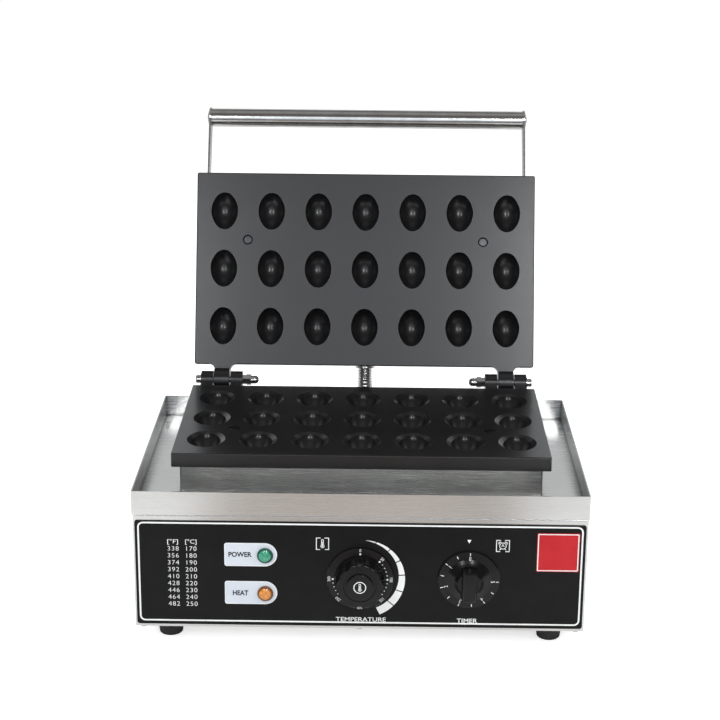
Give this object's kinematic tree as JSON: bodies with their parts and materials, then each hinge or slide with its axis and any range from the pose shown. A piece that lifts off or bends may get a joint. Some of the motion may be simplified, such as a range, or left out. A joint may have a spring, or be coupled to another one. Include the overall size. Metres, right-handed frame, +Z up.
{
  "type": "bubble waffle maker",
  "caption": "Countertop bubble waffle maker with a hinged egg-cell plate pair, stainless drip tray and housing, thermostat and timer dials, lamps and a tube handle.",
  "frame": {"origin": "middle of the whole part's box, on the floor under the feet, lid open", "axes": "+X to the user's right, +Y to the back (hinge side), +Z up; the controls face -Y"},
  "size_m": [0.41, 0.4031, 0.4322],
  "materials": {
    "brushed_stainless": "brushed",
    "polished_steel": "polished",
    "blackened_steel": "black oxide",
    "galvanised_sheet": "galvanised",
    "nonstick_casting": "black non-stick coat, semi-gloss",
    "heater_sheath": "oxidised",
    "ceramic_fibre": "fibrous",
    "fascia_black": "satin",
    "rubber_black": "matt",
    "knob_black": "satin",
    "gland_black": "matt",
    "control_case": "matt",
    "brass_bare": "bare",
    "terminal_ceramic": "glazed",
    "label_pale": "satin",
    "lens_green": "translucent",
    "lens_amber": "translucent",
    "badge_red": "gloss",
    "conduit_steel": "bright"
  },
  "bodies": {
    "base": {"base_housing": "brushed_stainless", "control_fascia": "fascia_black", "back_panel": "brushed_stainless", "bottom_cover": "brushed_stainless", "rubber_feet": "rubber_black", "foot_screws": "polished_steel", "foot_nuts": "polished_steel", "back_panel_screws": "polished_steel", "bottom_cover_screws": "polished_steel", "drip_tray": "brushed_stainless", "wire_grommet": "rubber_black", "lower_heater_case": "brushed_stainless", "heater_case_screws": "polished_steel", "lower_case_bridge": "galvanised_sheet", "lower_plate": "nonstick_casting", "lower_plate_screws": "blackened_steel", "lower_heating_element": "heater_sheath", "lower_element_clamps": "galvanised_sheet", "lower_clamp_screws": "polished_steel", "lower_insulation": "ceramic_fibre", "thermostat_body": "control_case", "thermostat_bulb": "brass_bare", "timer_body": "control_case", "control_screws": "polished_steel", "lamp_label_plates": "label_pale", "lamp_bezels": "polished_steel", "power_lamp_lens": "lens_green", "heat_lamp_lens": "lens_amber", "badge_plate": "badge_red", "terminal_block": "terminal_ceramic", "cable_gland": "gland_black", "earth_stud": "brass_bare", "base_conduit_fitting": "conduit_steel", "hinge_bolts": "polished_steel", "hinge_lock_nuts": "polished_steel", "hinge_dome_nuts": "polished_steel", "conduit": "conduit_steel"},
    "lid": {"upper_plate": "nonstick_casting", "upper_plate_screws": "blackened_steel", "upper_heating_element": "heater_sheath", "upper_element_clamps": "galvanised_sheet", "upper_clamp_screws": "polished_steel", "upper_insulation": "ceramic_fibre", "lid_cover": "brushed_stainless", "lid_bridge": "galvanised_sheet", "handle_arm_left": "brushed_stainless", "handle_arm_right": "brushed_stainless", "handle_tube": "polished_steel", "handle_end_caps": "polished_steel", "arm_screws": "polished_steel", "arm_nuts": "polished_steel", "lid_conduit_fitting": "conduit_steel"},
    "thermostat_dial": {"thermostat_knob": "knob_black", "thermostat_knob_cap": "knob_black", "thermostat_spindle": "polished_steel"},
    "timer_dial": {"timer_knob": "knob_black", "timer_spindle": "polished_steel"}
  },
  "joints": [
    {"name": "lid_hinge", "type": "hinge", "parent": "base", "child": "lid", "pos_m": [0, 0.06325, 0.1761], "axis": [1, 0, 0], "range_deg": [0, 110], "deforming": ["conduit"]},
    {"name": "thermostat_turn", "type": "hinge", "parent": "base", "child": "thermostat_dial", "pos_m": [0.0003, -0.20015, 0.0693], "axis": [0, 1, 0], "range_deg": [-270, 0]},
    {"name": "timer_turn", "type": "hinge", "parent": "base", "child": "timer_dial", "pos_m": [0.0985, -0.20015, 0.0693], "axis": [0, 1, 0], "range_deg": [0, 271]}
  ]
}
